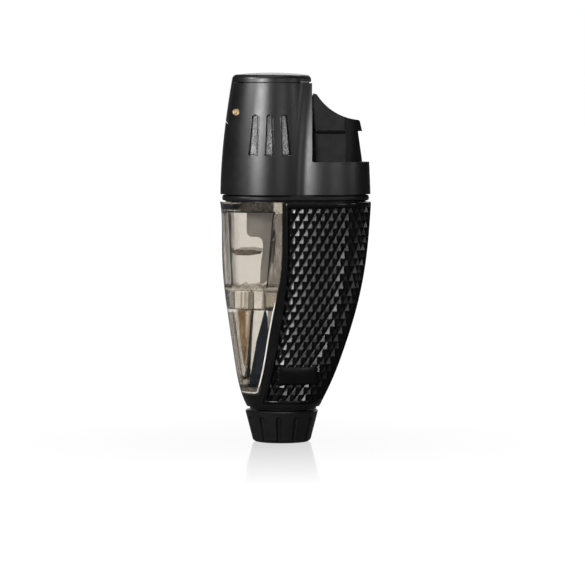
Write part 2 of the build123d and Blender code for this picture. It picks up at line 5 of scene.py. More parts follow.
import bmesh
import bpy
import numpy as np
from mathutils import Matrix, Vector


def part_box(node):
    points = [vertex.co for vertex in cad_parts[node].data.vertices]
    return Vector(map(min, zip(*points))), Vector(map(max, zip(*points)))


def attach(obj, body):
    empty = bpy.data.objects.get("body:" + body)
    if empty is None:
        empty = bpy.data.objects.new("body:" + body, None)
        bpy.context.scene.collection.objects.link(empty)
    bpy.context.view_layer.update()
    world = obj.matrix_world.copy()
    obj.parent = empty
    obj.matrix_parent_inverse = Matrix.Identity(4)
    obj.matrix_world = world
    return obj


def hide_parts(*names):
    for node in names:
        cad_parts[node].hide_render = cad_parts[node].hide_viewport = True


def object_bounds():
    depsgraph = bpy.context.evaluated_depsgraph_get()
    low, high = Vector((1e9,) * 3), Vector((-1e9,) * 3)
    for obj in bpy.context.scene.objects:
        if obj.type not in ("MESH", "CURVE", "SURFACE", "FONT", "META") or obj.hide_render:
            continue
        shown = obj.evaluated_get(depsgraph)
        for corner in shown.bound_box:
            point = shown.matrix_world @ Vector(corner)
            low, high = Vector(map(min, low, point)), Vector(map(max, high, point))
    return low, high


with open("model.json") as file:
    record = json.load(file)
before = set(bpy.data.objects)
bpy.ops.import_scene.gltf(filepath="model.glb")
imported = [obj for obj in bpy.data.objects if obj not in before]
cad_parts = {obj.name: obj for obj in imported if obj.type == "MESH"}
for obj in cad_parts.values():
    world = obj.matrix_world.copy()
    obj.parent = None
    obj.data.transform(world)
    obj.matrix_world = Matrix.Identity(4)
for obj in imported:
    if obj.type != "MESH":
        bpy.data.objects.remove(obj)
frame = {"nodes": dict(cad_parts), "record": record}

cad_low, cad_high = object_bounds()
nodes = frame["nodes"]
MM = 0.001
both_sides = ((-1, "near"), (1, "far"))     # the side facing -Y and the side facing +Y


# ---------------------------------------------------------------- materials

def new_material(name):
    """Material with a Principled shader; returns it with its tree, shader and object coordinates."""
    material = bpy.data.materials.new(name)
    material.use_nodes = True
    tree = material.node_tree
    shader = tree.nodes["Principled BSDF"]
    coords = tree.nodes.new("ShaderNodeTexCoord")
    return material, tree, shader, coords.outputs["Object"]


def noise(tree, coords, size_mm, detail=3.0, roughness=0.5):
    """Noise whose blobs are about size_mm across."""
    node = tree.nodes.new("ShaderNodeTexNoise")
    node.inputs["Scale"].default_value = 1.0 / (size_mm * MM)
    node.inputs["Detail"].default_value = detail
    node.inputs["Roughness"].default_value = roughness
    tree.links.new(coords, node.inputs["Vector"])
    return node.outputs["Fac"]


noise_low, noise_high = 0.3, 0.7            # most of a noise lies between these


def spread(tree, value, low, high, start=noise_low, end=noise_high, smooth=False):
    """Map the values from start to end onto the range from low to high."""
    node = tree.nodes.new("ShaderNodeMapRange")
    node.interpolation_type = "SMOOTHSTEP" if smooth else "LINEAR"
    node.inputs["From Min"].default_value = start
    node.inputs["From Max"].default_value = end
    node.inputs["To Min"].default_value = low
    node.inputs["To Max"].default_value = high
    tree.links.new(value, node.inputs["Value"])
    return node.outputs["Result"]


def ramp(tree, value, dark, light):
    """Two-colour blend driven by a noise."""
    node = tree.nodes.new("ShaderNodeValToRGB")
    first, last = node.color_ramp.elements
    first.position = noise_low
    first.color = (*dark, 1)
    last.position = noise_high
    last.color = (*light, 1)
    tree.links.new(value, node.inputs["Fac"])
    return node.outputs["Color"]


def bump(tree, shader, value, height_mm):
    """Relief of a given depth on the shader's normal."""
    node = tree.nodes.new("ShaderNodeBump")
    node.inputs["Distance"].default_value = height_mm * MM
    tree.links.new(value, node.inputs["Height"])
    tree.links.new(node.outputs["Normal"], shader.inputs["Normal"])


def stretched(tree, coords, scale):
    """Coordinates scaled along each axis: a noise is drawn out along an axis scaled by under one."""
    mapping = tree.nodes.new("ShaderNodeMapping")
    mapping.inputs["Scale"].default_value = scale
    tree.links.new(coords, mapping.inputs["Vector"])
    return mapping.outputs["Vector"]


def moulded(name, dark, light, rough, grain_mm, grain_depth, specular=0.5):
    """Painted or moulded surface: fine grain in the relief, soft mottling in colour and roughness."""
    material, tree, shader, coords = new_material(name)
    tree.links.new(ramp(tree, noise(tree, coords, 6.0), dark, light), shader.inputs["Base Color"])
    tree.links.new(spread(tree, noise(tree, coords, 1.6, 4.0), *rough), shader.inputs["Roughness"])
    bump(tree, shader, noise(tree, coords, grain_mm, 2.0), grain_depth)
    shader.inputs["Specular IOR Level"].default_value = specular
    return material


def metal(name, dark, light, rough, mottle_mm=1.5):
    """Turned or brushed metal: mottled colour, and fine streaks that run level round the piece."""
    material, tree, shader, coords = new_material(name)
    streaks = noise(tree, stretched(tree, coords, (1, 1, 12)), 2.0, 5.0, 0.6)
    tree.links.new(ramp(tree, noise(tree, coords, mottle_mm), dark, light), shader.inputs["Base Color"])
    tree.links.new(spread(tree, streaks, *rough), shader.inputs["Roughness"])
    bump(tree, shader, streaks, 0.01)
    shader.inputs["Metallic"].default_value = 1.0
    return material


def clear(name, dark, light, rough, stretch=(1, 1, 1), wave_mm=3.0, coat=0.0):
    """Smoke-tinted clear plastic with moulding waves; a coat carries its surface gloss."""
    material, tree, shader, coords = new_material(name)
    waves = noise(tree, stretched(tree, coords, stretch), wave_mm, 4.0, 0.6)
    tree.links.new(ramp(tree, waves, dark, light), shader.inputs["Base Color"])
    tree.links.new(spread(tree, noise(tree, coords, 3.0), *rough), shader.inputs["Roughness"])
    bump(tree, shader, waves, 0.06)
    shader.inputs["Transmission Weight"].default_value = 1.0
    shader.inputs["IOR"].default_value = 1.12
    shader.inputs["Coat Weight"].default_value = coat
    shader.inputs["Coat Roughness"].default_value = 0.03
    return material


# Colours are the darkest and lightest of each mottling, then come the roughness and the grain.
satin = {"dark": (0.003, 0.003, 0.0033), "light": (0.005, 0.005, 0.0055)}
glossy = {"dark": (0.002, 0.002, 0.0022), "light": (0.004, 0.004, 0.0043)}
black_paint = moulded("satin_black_paint", **satin, rough=(0.35, 0.40), grain_mm=0.35, grain_depth=0.004)
black_plastic = moulded("satin_black_plastic", **satin, rough=(0.30, 0.38), grain_mm=0.3, grain_depth=0.005)
black_trigger = moulded("satin_black_trigger", **satin, rough=(0.34, 0.42), grain_mm=0.3,
                        grain_depth=0.005, specular=0.28)
black_gloss = moulded("gloss_black_plastic", **glossy, rough=(0.14, 0.22), grain_mm=0.6, grain_depth=0.003)
black_grip = moulded("grip_black", **glossy, rough=(0.19, 0.25), grain_mm=0.5, grain_depth=0.003,
                     specular=0.22)
# Near-black matte with little shine for the strip under the thumb button: painted shade of the button's
# overhang.
shade_strip_black = moulded("matte_black_painted_shade", (0.001, 0.001, 0.001), (0.002, 0.002, 0.002), (0.7, 0.8),
                     grain_mm=0.3, grain_depth=0.005, specular=0.05)
groove_grey = moulded("stippled_groove", (0.10, 0.10, 0.101), (0.28, 0.28, 0.282), (0.45, 0.6),
                      grain_mm=0.25, grain_depth=0.05)
# Pale strip along the window's bevelled edge: a painted highlight, the glint of light on the clear edge.
glint_white = moulded("painted_glint_rim", (0.55, 0.53, 0.50), (0.75, 0.73, 0.69), (0.2, 0.3),
                    grain_mm=0.6, grain_depth=0.01)
rubber = moulded("black_rubber", (0.004, 0.004, 0.004), (0.008, 0.008, 0.008), (0.6, 0.7),
                 grain_mm=0.2, grain_depth=0.01)
ceramic = moulded("ceramic", (0.72, 0.69, 0.62), (0.82, 0.79, 0.72), (0.5, 0.65),
                  grain_mm=0.25, grain_depth=0.012)
red_lead = moulded("red_insulation", (0.30, 0.02, 0.015), (0.40, 0.03, 0.02), (0.35, 0.45),
                   grain_mm=0.4, grain_depth=0.008)
amber = moulded("amber_wick", (0.42, 0.22, 0.08), (0.80, 0.58, 0.36), (0.35, 0.5),
                grain_mm=0.35, grain_depth=0.05)
grey_inner = moulded("grey_inner_plastic", (0.17, 0.167, 0.163), (0.27, 0.26, 0.245), (0.4, 0.5),
                     grain_mm=0.3, grain_depth=0.01)

# Dark pieces seen through the tank reflect little, or they would look grey there.
black_inner = moulded("black_inner_plastic", (0.012, 0.012, 0.013), (0.02, 0.02, 0.021), (0.5, 0.6),
                      grain_mm=0.3, grain_depth=0.01, specular=0.15)
navy = moulded("blue_black_shade", (0.003, 0.005, 0.009), (0.007, 0.011, 0.017), (0.6, 0.7),
               grain_mm=0.5, grain_depth=0.01, specular=0.1)

smoke = clear("smoke_clear_plastic", (0.78, 0.745, 0.69), (0.85, 0.815, 0.76), (0.02, 0.06), coat=1.0)
smoke_front = clear("smoke_front", (0.70, 0.66, 0.60), (0.96, 0.94, 0.91), (0.1, 0.25),
                    stretch=(1, 1, 0.1), wave_mm=0.7)
smoke_rear = clear("smoke_rear", (0.10, 0.09, 0.08), (0.42, 0.385, 0.34), (0.15, 0.3),
                   stretch=(1, 1, 0.2), wave_mm=0.8)
smoke_band = clear("smoke_band", (0.62, 0.58, 0.51), (0.86, 0.82, 0.74), (0.1, 0.25),
                   stretch=(0.5, 1, 1), wave_mm=1.2)
smoke_seal = clear("smoke_seal", (0.42, 0.39, 0.34), (0.66, 0.62, 0.55), (0.2, 0.35),
                   stretch=(0.3, 1, 1), wave_mm=1.6)
smoke_dark = clear("smoke_dark", (0.07, 0.06, 0.05), (0.28, 0.25, 0.20), (0.2, 0.35),
                   stretch=(0.3, 1, 1), wave_mm=1.0)
amber_haze = clear("amber_haze", (0.74, 0.54, 0.35), (1.0, 0.97, 0.93), (0.2, 0.3),
                   stretch=(1, 1, 0.7), wave_mm=0.3)

brass = metal("turned_brass", (0.26, 0.16, 0.07), (0.95, 0.72, 0.42), (0.24, 0.36), mottle_mm=0.45)
steel = metal("brushed_steel", (0.45, 0.45, 0.46), (0.58, 0.58, 0.59), (0.25, 0.4))

slot_materials = {
    "head_black": black_paint, "trigger_black": black_trigger, "frame_black": black_gloss,
    "grip_black": black_grip, "knob_black": black_plastic, "tank_smoke": smoke,
    "inner_grey": grey_inner, "inner_black": black_inner, "amber_tube": amber, "brass": brass,
    "steel": steel, "rubber": rubber, "ceramic": ceramic, "lead_red": red_lead,
}
for part in frame["record"]["subparts"]:
    mesh = nodes[part["node"]].data
    mesh.materials.clear()
    mesh.materials.append(slot_materials[part["material_slot"]])


# ---------------------------------------------------------------- mesh helpers

def place(name, vertices, faces, material, body="housing", stands_for=(), flat=True):
    """New piece from millimetre vertices, riding on a body and taking the material it is given."""
    mesh = bpy.data.meshes.new(name)
    mesh.from_pydata([Vector(v) * MM for v in vertices], [], faces)
    mesh.validate()
    work = bmesh.new()
    work.from_mesh(mesh)
    bmesh.ops.remove_doubles(work, verts=work.verts, dist=0.0005 * MM)
    bmesh.ops.recalc_face_normals(work, faces=work.faces)
    work.to_mesh(mesh)
    work.free()
    mesh.materials.append(material)
    for polygon in mesh.polygons:
        polygon.use_smooth = not flat
    piece = bpy.data.objects.new(name, mesh)
    bpy.context.scene.collection.objects.link(piece)
    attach(piece, body)
    if stands_for:
        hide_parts(*stands_for)
    return piece


def add_row(vertices, points):
    """Append points to a list of vertices; returns their numbers."""
    start = len(vertices)
    vertices.extend(points)
    return list(range(start, len(vertices)))


def strip_faces(rows, closed=False):
    """Quads between successive rows of vertex numbers."""
    faces = []
    for lower, upper in zip(rows, rows[1:]):
        count = len(lower)
        for k in range(count if closed else count - 1):
            after = (k + 1) % count
            faces.append((lower[k], lower[after], upper[after], upper[k]))
    return faces


def circle(steps):
    """Points round a circle of radius one, as (across, up) pairs."""
    turns = [math.tau * step / steps for step in range(steps)]
    return [(math.cos(turn), math.sin(turn)) for turn in turns]


def natural_spline(knots, values):
    """Second derivatives of the natural cubic through the knots."""
    count = len(knots)
    system, right = np.eye(count), np.zeros(count)
    for k in range(1, count - 1):
        before, after = knots[k] - knots[k - 1], knots[k + 1] - knots[k]
        system[k, k - 1:k + 2] = before, 2 * (before + after), after
        right[k] = 6 * ((values[k + 1] - values[k]) / after - (values[k] - values[k - 1]) / before)
    return np.linalg.solve(system, right)


def smooth_columns(table):
    """Function of height that gives a table's other columns, on natural cubics through its rows."""
    heights = np.array([row[0] for row in table])
    curves = [np.array([row[k] for row in table]) for k in range(1, len(table[0]))]
    bends = [natural_spline(heights, curve) for curve in curves]

    def columns_at(z):
        k = int(np.clip(np.searchsorted(heights, z) - 1, 0, len(heights) - 2))
        span = heights[k + 1] - heights[k]
        a, b = (heights[k + 1] - z) / span, (z - heights[k]) / span
        return [a * curve[k] + b * curve[k + 1]
                + ((a**3 - a) * bend[k] + (b**3 - b) * bend[k + 1]) * span**2 / 6
                for curve, bend in zip(curves, bends)]

    return columns_at


# ---------------------------------------------------------------- body form

# Height, frontmost x, rearmost x, front radius and rear radius of the body's egg-shaped plan.
body_columns = smooth_columns([
    (7.9, -7.70, 8.35, 7.85, 7.80), (13.4, -9.60, 11.04, 8.50, 7.80), (20.0, -10.70, 13.58, 9.00, 7.80),
    (28.8, -11.98, 16.32, 9.60, 7.95), (39.8, -13.07, 18.53, 10.15, 8.30), (52.9, -13.57, 19.67, 10.40, 8.60),
])


def plan_at(z):
    """Front centre, back centre, front radius, back radius and flank angle at a height."""
    front_x, back_x, front_r, back_r = body_columns(z)
    front, back = front_x + front_r, back_x - back_r
    return front, back, front_r, back_r, math.asin((front_r - back_r) / (back - front))


def run_of_x(z, x):
    """Length along the side outline from the front end's tangent point to a given x."""
    front, back, front_r, back_r, tilt = plan_at(z)
    tangent = front + front_r * math.sin(tilt)
    if x >= tangent:
        return (x - tangent) / math.cos(tilt)
    return -(math.acos((x - front) / front_r) - (math.pi / 2 - tilt)) * front_r


def flank_length(z):
    """Length of the straight flank between the front and the back round."""
    front, back, front_r, back_r, tilt = plan_at(z)
    return (back - front) * math.cos(tilt)


def run_to_back(z):
    """Length along the side outline from the tangent point to the middle of the back."""
    front, back, front_r, back_r, tilt = plan_at(z)
    return flank_length(z) + back_r * (math.pi / 2 - tilt)


def on_body(z, run, inset, side):
    """Point of the body's side surface, sunk by an inset; side is -1 for -Y and 1 for +Y."""
    front, back, front_r, back_r, tilt = plan_at(z)
    flank = flank_length(z)
    angle = math.pi / 2 - tilt
    if run < 0:
        angle -= run / front_r
        centre, radius = front, front_r
    elif run > flank:
        angle -= (run - flank) / back_r
        centre, radius = back, back_r
    else:
        share = run / flank
        centre, radius = front + (back - front) * share, front_r + (back_r - front_r) * share
    return (centre + (radius - inset) * math.cos(angle), side * (radius - inset) * math.sin(angle), z)


def depth_at(x, z, inset):
    """Half thickness of the body at a point of its side outline, less an inset."""
    front, back, front_r, back_r, tilt = plan_at(z)
    if x < front + front_r * math.sin(tilt):
        return math.sqrt(max((front_r - inset)**2 - (x - front)**2, 0.01))
    share = (x - front) / (back - front)
    return front_r + (back_r - front_r) * share - inset


def forward_edge(node, levels):
    """Smallest x of a CAD node at each height."""
    mesh = nodes[node].data
    points = np.array([v.co for v in mesh.vertices]) / MM
    ends = np.array([e.vertices[:] for e in mesh.edges])
    a, b = points[ends[:, 0]], points[ends[:, 1]]
    found = []
    for z in levels:
        crossing = (np.minimum(a[:, 2], b[:, 2]) <= z) & (np.maximum(a[:, 2], b[:, 2]) > z)
        p, q = a[crossing], b[crossing]
        share = (z - p[:, 2]) / (q[:, 2] - p[:, 2])
        found.append((p[:, 0] + share * (q[:, 0] - p[:, 0])).min())
    return np.array(found)


# ---------------------------------------------------------------- grip

grip_low, grip_high = [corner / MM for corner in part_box("grip_cover")]
edge_levels = np.linspace(grip_low.z + 0.02, grip_high.z - 0.02, 60)
edge_x = forward_edge("grip_cover", edge_levels)
cell_half_width, cell_half_height = 0.925, 1.657
cell_base, cell_tip = 0.62, 0.02            # insets of the pyramids' feet and tips
column_lean = 0.8                           # the columns lean by this share of the forward edge's lean
column_shift, row_shift = 0.22, 1.1         # where the pattern starts, from the front and under the border
border_left, border_top, border_bottom = 0.6, 1.15, 0.7
crown_front, crown_rear = 0.30, 0.12        # extra depth of the pattern at the flank's two ends
pad_front, pad_back, pad_low, pad_high = -0.8, 7.9, 13.2, 16.9
spine_half = 0.7                            # half width of the smooth seam strip down the back
wall_inset = 1.7                            # depth at which the grip meets the tank


def grip_start(z):
    """Run of the grip's forward edge."""
    return run_of_x(z, float(np.interp(z, edge_levels, edge_x)))


def column_zero(z):
    """Run of the pattern's first column, which leans less than the grip's forward edge."""
    z = min(max(z, grip_low.z), grip_high.z)
    return run_of_x(z, edge_x[-1] + column_lean * (np.interp(z, edge_levels, edge_x) - edge_x[-1]))


def clip(polygon, inside):
    """Cut a polygon of (run, z, inset) points to where the signed function is positive."""
    kept = []
    for k, point in enumerate(polygon):
        other = polygon[(k + 1) % len(polygon)]
        here, there = inside(point), inside(other)
        if here >= 0:
            kept.append(point)
        if here * there < 0:
            share = here / (here - there)
            kept.append(tuple(p + share * (q - p) for p, q in zip(point, other)))
    return kept


def pyramid_facets():
    """Facets of the diamond-based pyramids on one side, clipped to the grip's border."""
    reach = 0.12                            # the pattern runs a little way under the border
    low, high = grip_low.z + border_bottom - reach, grip_high.z - border_top + reach
    limits = [
        lambda point: point[1] - low,
        lambda point: high - point[1],
        lambda point: point[0] - grip_start(point[1]) - border_left + reach,
        lambda point: run_to_back(point[1]) - spine_half + reach - point[0],
    ]
    facets = []
    rows = int((grip_high.z - grip_low.z) / cell_half_height) + 4
    for row in range(rows):
        z = grip_high.z - border_top - row_shift - (row - 1) * cell_half_height
        for column in range(-3, 16):
            u = (column + 0.5 * ((row + 1) % 2)) * 2 * cell_half_width + column_shift
            corners = [(u - cell_half_width, z), (u, z + cell_half_height), (u + cell_half_width, z),
                       (u, z - cell_half_height)]
            for k in range(4):
                facet = [(*corners[k], cell_base), (*corners[(k + 1) % 4], cell_base), (u, z, cell_tip)]
                facet = [(column_zero(up) + across, up, inset) for across, up, inset in facet]
                for limit in limits:
                    facet = clip(facet, limit)
                if len(facet) >= 3:
                    facets.append(facet)
    return facets


def crown(z, run):
    """Extra depth of the pattern towards the grip's edges, which makes each flank gently convex."""
    start, end, back = grip_start(z), flank_length(z), run_to_back(z)
    share = min(max((run - start) / (end - start), 0.0), 1.0)
    fade = min(max((back - run) / (back - end), 0.0), 1.0)
    return (crown_front if share < 0.5 else crown_rear) * (2 * share - 1)**2 * fade


def place_grip(name, vertices, faces, flat=False):
    """One of the pieces that together stand for the plain CAD grip."""
    place(name, vertices, faces, black_grip, stands_for=["grip_cover"], flat=flat)


def build_pyramids():
    """Diamond pattern on both sides."""
    facets = pyramid_facets()
    vertices, faces = [], []
    for side, _ in both_sides:
        for facet in facets:
            points = [on_body(z, run, inset + crown(z, run), side) for run, z, inset in facet]
            faces.append(add_row(vertices, points))
    place_grip("grip_pyramids", vertices, faces, flat=True)


def build_pad():
    """Smooth pad with rounded edges, low on the side facing -Y."""
    # Share of the pad's height or length, and inset there.
    upward = [(0.0, 0.7), (0.0, 0.08), (0.06, 0.0), (0.94, 0.0), (1.0, 0.08), (1.0, 0.7)]
    lengthwise = [(0.0, 0.7), (0.0, 0.08), (0.03, 0.0)]
    lengthwise += [(0.1 * k, 0.0) for k in range(1, 10)]
    lengthwise += [(0.97, 0.0), (1.0, 0.08), (1.0, 0.7)]
    vertices, rows = [], []
    for climb, edge_inset in upward:
        z = pad_low + climb * (pad_high - pad_low)
        points = []
        for share, end_inset in lengthwise:
            run = run_of_x(z, pad_front + share * (pad_back - pad_front))
            points.append(on_body(z, run, max(edge_inset, end_inset), -1))
        rows.append(add_row(vertices, points))
    place_grip("grip_pad", vertices, strip_faces(rows))


def border_path(share, steps=48):
    """Points (run, z) along one side of the border, at a share of its width from its outer wall."""
    low, high = grip_low.z + share * border_bottom, grip_high.z - share * border_top
    inward = share * border_left
    path = []
    for k in range(steps):
        front, back = grip_start(low) + inward, run_to_back(low)
        path.append((back + (front - back) * k / steps, low))
    for k in range(steps):
        z = low + (high - low) * k / steps
        path.append((grip_start(z) + inward, z))
    for k in range(steps + 1):
        front, back = grip_start(high) + inward, run_to_back(high)
        path.append((front + (back - front) * k / steps, high))
    return path


def build_border():
    """Smooth raised border round the pattern, from one side across the back to the other."""
    # Share of the border's width, and inset, from the outer wall to the inner wall.
    profile = [(0, wall_inset), (0, 0.28), (0.06, 0.1), (0.2, 0.02), (0.8, 0.02), (0.93, 0.1), (1.0, 0.28),
               (1.0, 1.3)]
    vertices, loops = [], []
    for share, inset in profile:
        path = border_path(share)
        points = [on_body(z, run, inset, -1) for run, z in path]
        points += [on_body(z, run, inset, 1) for run, z in path[::-1]]
        loops.append(add_row(vertices, points))
    place_grip("grip_border", vertices, strip_faces(loops, closed=True))


def build_spine():
    """Smooth strip down the middle of the back, where the mould's halves meet."""
    # Share of the strip's half width, and inset, from next to the middle outwards.
    half = [(0.1, 0.0), (0.8, 0.03), (0.96, 0.2), (1.0, 0.7)]
    across = [(-share, inset) for share, inset in half[::-1]] + [(0.0, 0.1)] + half
    vertices, rows = [], []
    for z in np.linspace(grip_low.z + 0.3, grip_high.z - 0.3, 60):
        points = [on_body(float(z), run_to_back(z) - abs(share) * spine_half, inset, -1 if share < 0 else 1)
                  for share, inset in across]
        rows.append(add_row(vertices, points))
    place_grip("grip_spine", vertices, strip_faces(rows))


def build_lining():
    """Inner skin that closes the grip against the tank."""
    shares = np.linspace(0, 1, 24)
    vertices, rows = [], []
    for z in np.linspace(grip_low.z, grip_high.z, 30):
        start, back = grip_start(z), run_to_back(z)
        points = [on_body(float(z), start + share * (back - start), wall_inset, -1) for share in shares]
        points += [on_body(float(z), start + share * (back - start), wall_inset, 1) for share in shares[::-1]]
        rows.append(add_row(vertices, points))
    place_grip("grip_lining", vertices, strip_faces(rows))


build_pyramids()
build_pad()
build_border()
build_spine()
build_lining()


# ---------------------------------------------------------------- tank interior

def band(name, material, inset, rows, columns=6, ripple=0.0):
    """Upright web right across the tank between two edges, given as (height, left x, right x) rows."""
    heights, lefts, rights = [np.array(column, float) for column in zip(*sorted(rows))]
    levels = sorted(set(np.linspace(heights[0], heights[-1], 14)) | set(heights))
    vertices, loops = [], []
    for z in levels:
        climb = (z - levels[0]) / (levels[-1] - levels[0])
        xs = np.linspace(np.interp(z, heights, lefts), np.interp(z, heights, rights), columns)
        points = []
        for side, line in ((-1, xs), (1, xs[::-1])):
            for x in line:
                wave = math.sin(2.1 * x) + math.sin(3.7 * x + 1)
                lift = ripple * wave * climb
                points.append((float(x), side * depth_at(float(x), z, inset), float(z) + lift))
        loops.append(add_row(vertices, points))
    faces = strip_faces(loops, closed=True)
    for loop in (loops[0], loops[-1]):
        for k in range(columns - 1):
            faces.append((loop[k], loop[k + 1], loop[-2 - k], loop[-1 - k]))
    place(name, vertices, faces, material)


def build_upper_chamber():
    """Shaded walls, dark edges, shelf and fuel level of the tapered upper chamber."""
    band("tank_wall_front", smoke_front, 0.5, [(50.4, -13.0, -11.6), (34.0, -11.9, -10.8)])
    band("tank_wall_rear", smoke_rear, 0.4,
         [(50.4, -1.6, 0.1), (42.0, -2.4, 0.1), (34.4, -3.0, -0.5)])
    band("tank_seal", smoke_seal, 0.6, [(50.9, -12.9, 0.1), (52.8, -13.0, 0.1)])
    band("tank_seal_shadow", navy, 1.0, [(51.2, -12.4, -9.2), (52.5, -12.6, -8.8)])
    band("chamber_edge_front", black_inner, 0.8,
         [(50.7, -11.6, -11.45), (34.2, -10.8, -10.68)])
    band("chamber_edge_rear", black_inner, 0.8, [(50.7, -1.95, -1.6), (34.2, -3.3, -3.05)])
    band("chamber_edge_top", black_inner, 0.8, [(50.6, -10.9, -1.6), (50.85, -11.0, -1.6)])
    band("chamber_shelf", smoke_dark, 1.6,
         [(41.3, -9.8, -7.2), (41.7, -10.2, -4.6), (42.2, -10.2, -4.2), (42.5, -9.4, -6.0)])
    band("fuel_level", smoke_seal, 0.8, [(33.5, -11.8, -0.9), (34.5, -11.9, -0.8)],
         columns=40, ripple=0.16)


def build_chamber_web():
    """Web between the two chambers, with its seams and its lower edge."""
    band("chamber_web", smoke_band, 0.7, [(29.7, -10.2, -1.7), (33.4, -10.3, -1.0)])
    for number, x in enumerate((-10.2, -6.05, -3.6), 1):
        band(f"web_seam_{number}", smoke_seal, 0.55,
             [(29.7, x - 0.1, x + 0.1), (33.3, x - 0.15, x + 0.05)])
    band("web_rear", smoke_seal, 0.5, [(29.7, -3.4, -1.5), (33.3, -3.2, -1.0)])
    band("web_edge", smoke_seal, 0.6, [(29.35, -11.4, -1.8), (29.6, -11.4, -1.8)])


def build_lower_chamber():
    """Front wall, amber haze, dividing line, dark rear wall and foot of the pointed lower chamber."""
    band("point_wall_front", smoke_seal, 0.8,
         [(28.6, -10.5, -10.2), (24.0, -9.9, -9.6), (18.6, -9.1, -8.85), (13.4, -8.5, -8.3)])
    band("point_haze", amber_haze, 0.9,
         [(29.1, -9.3, -6.7), (23.0, -8.7, -7.1), (17.0, -7.95, -7.5)])
    band("point_line", black_inner, 0.9, [(29.2, -6.5, -6.32), (14.0, -7.7, -7.55)])
    band("point_wall_rear", navy, 0.8,
         [(28.6, -3.9, -3.3), (26.8, -4.3, -3.0), (22.5, -5.4, -2.95), (13.1, -6.9, -5.3),
          (12.4, -7.1, -5.6)])
    band("point_wall_grey", smoke_rear, 0.5,
         [(29.2, -3.0, -1.9), (24.0, -3.0, -2.5), (20.0, -3.6, -3.3), (12.8, -5.3, -5.0)])
    band("point_foot", smoke_seal, 0.6, [(12.9, -8.5, -6.8), (14.6, -8.3, -7.2)])
    band("tank_foot", smoke_dark, 0.5, [(11.3, -8.6, -5.3), (12.8, -8.9, -5.1)])


build_upper_chamber()
build_chamber_web()
build_lower_chamber()


# ---------------------------------------------------------------- window rim and painted glint

def ribbon(name, path, near, far, material, side):
    """Thin raised strip between two distances from a side-view path of (x, z), positive into the window."""
    buried, proud = 0.2, -0.02              # insets of the strip's feet and its face
    path = np.array(path)
    along = np.gradient(path, axis=0)
    along /= np.linalg.norm(along, axis=1)[:, None]
    across = np.stack([along[:, 1], -along[:, 0]], axis=1)
    vertices, rows = [], []
    for point, aside, first, last in zip(path, across, near, far):
        points = []
        for distance, inset in ((first, buried), (first, proud), (last, proud), (last, buried)):
            x, z = point + aside * distance
            points.append(on_body(float(z), run_of_x(float(z), float(x)), inset, side))
        rows.append(add_row(vertices, points))
    place(name, vertices, strip_faces(rows), material, flat=False)


def build_window_rim():
    """Black lip round the window's edge and, inside it, a pale strip that is a painted glint of the bevelled
    edge, on both sides.
    """
    levels = np.linspace(40.0, 11.3, 44)
    path = list(zip(forward_edge("body_frame", levels), levels))
    path += [(-4.95, 11.0), (-5.3, 10.8), (-5.8, 10.65)]
    path += [(x, 10.6) for x in (-6.5, -7.2, -7.9, -8.5)]
    path_z = np.array([z for _, z in path])
    lip_start = np.full(len(path), -0.05)
    lip_end = 0.38 * np.clip((39.0 - path_z) / 7.0, 0.02, 1.0)
    # Width of the pale strip of painted glint, which fades in below 32 mm height.
    glint_width = 0.3 * np.clip((32.0 - path_z) / 3.0, 0.0, 1.0)
    first = int(np.argmax(glint_width > 0))
    glint_end = lip_end + glint_width
    for side, word in both_sides:
        ribbon(f"window_lip_{word}", path, lip_start, lip_end, black_gloss, side)
        ribbon(f"window_glint_{word}", path[first:], lip_end[first:], glint_end[first:], glint_white,
               side)


build_window_rim()


# ---------------------------------------------------------------- head details

# Height, centre x and radius of the head's round barrel.
barrel_columns = smooth_columns([
    (54.5, -2.98, 10.50), (62.0, -2.85, 10.31), (70.0, -2.60, 9.75), (81.1, -2.20, 8.45),
])
head_top = 78.8                             # height of the head's rim, under the lid
# Each groove's left and right x at its top, then at its bottom.
grooves = [(-6.45, -4.88, -7.17, -5.2), (-3.3, -1.9, -3.6, -1.56), (-0.2, 1.3, 0.09, 2.16)]
groove_low, groove_high, groove_crown = 63.05, 71.3, 0.66


def on_barrel(x, z, sunk, side):
    """Point of the head's round barrel at a given x and height, sunk by a depth."""
    centre, radius = barrel_columns(z)
    angle = math.acos((x - centre) / radius)
    return (centre + (radius - sunk) * math.cos(angle), side * (radius - sunk) * math.sin(angle), z)


def groove_edge(groove, share, margin):
    """Left and right x and the height at a share of the groove's height, drawn in by a margin."""
    top_left, top_right, bottom_left, bottom_right = groove
    full = groove_high + groove_crown - groove_low - 2 * margin
    z = groove_low + margin + share * full
    climb = min((z - groove_low) / (groove_high - groove_low), 1.0)
    left = bottom_left + (top_left - bottom_left) * climb + margin
    right = bottom_right + (top_right - bottom_right) * climb - margin
    if z > groove_high - margin:
        rise = min((z - groove_high + margin) / groove_crown, 1.0)
        narrow = (right - left) / 2 * (1 - math.sqrt(max(1 - rise**2, 0.0)))
        left, right = left + narrow, right - narrow
    return left, right, z


def build_groove_floor(name, groove, side, rng):
    """Stippled floor, a little under the barrel's surface."""
    count_up, count_across = 36, 7
    edge_depth, floor_depth, stipple = 0.5, 0.38, 0.28
    vertices, rows = [], []
    for up in range(count_up + 1):
        left, right, z = groove_edge(groove, up / count_up, 0.2)
        points = []
        for across in range(count_across + 1):
            x = left + (right - left) * across / count_across
            edge = up in (0, count_up) or across in (0, count_across)
            sunk = edge_depth if edge else floor_depth - stipple * rng.random()
            points.append(on_barrel(x, z, sunk, side))
        rows.append(add_row(vertices, points))
    place(name, vertices, strip_faces(rows), groove_grey)


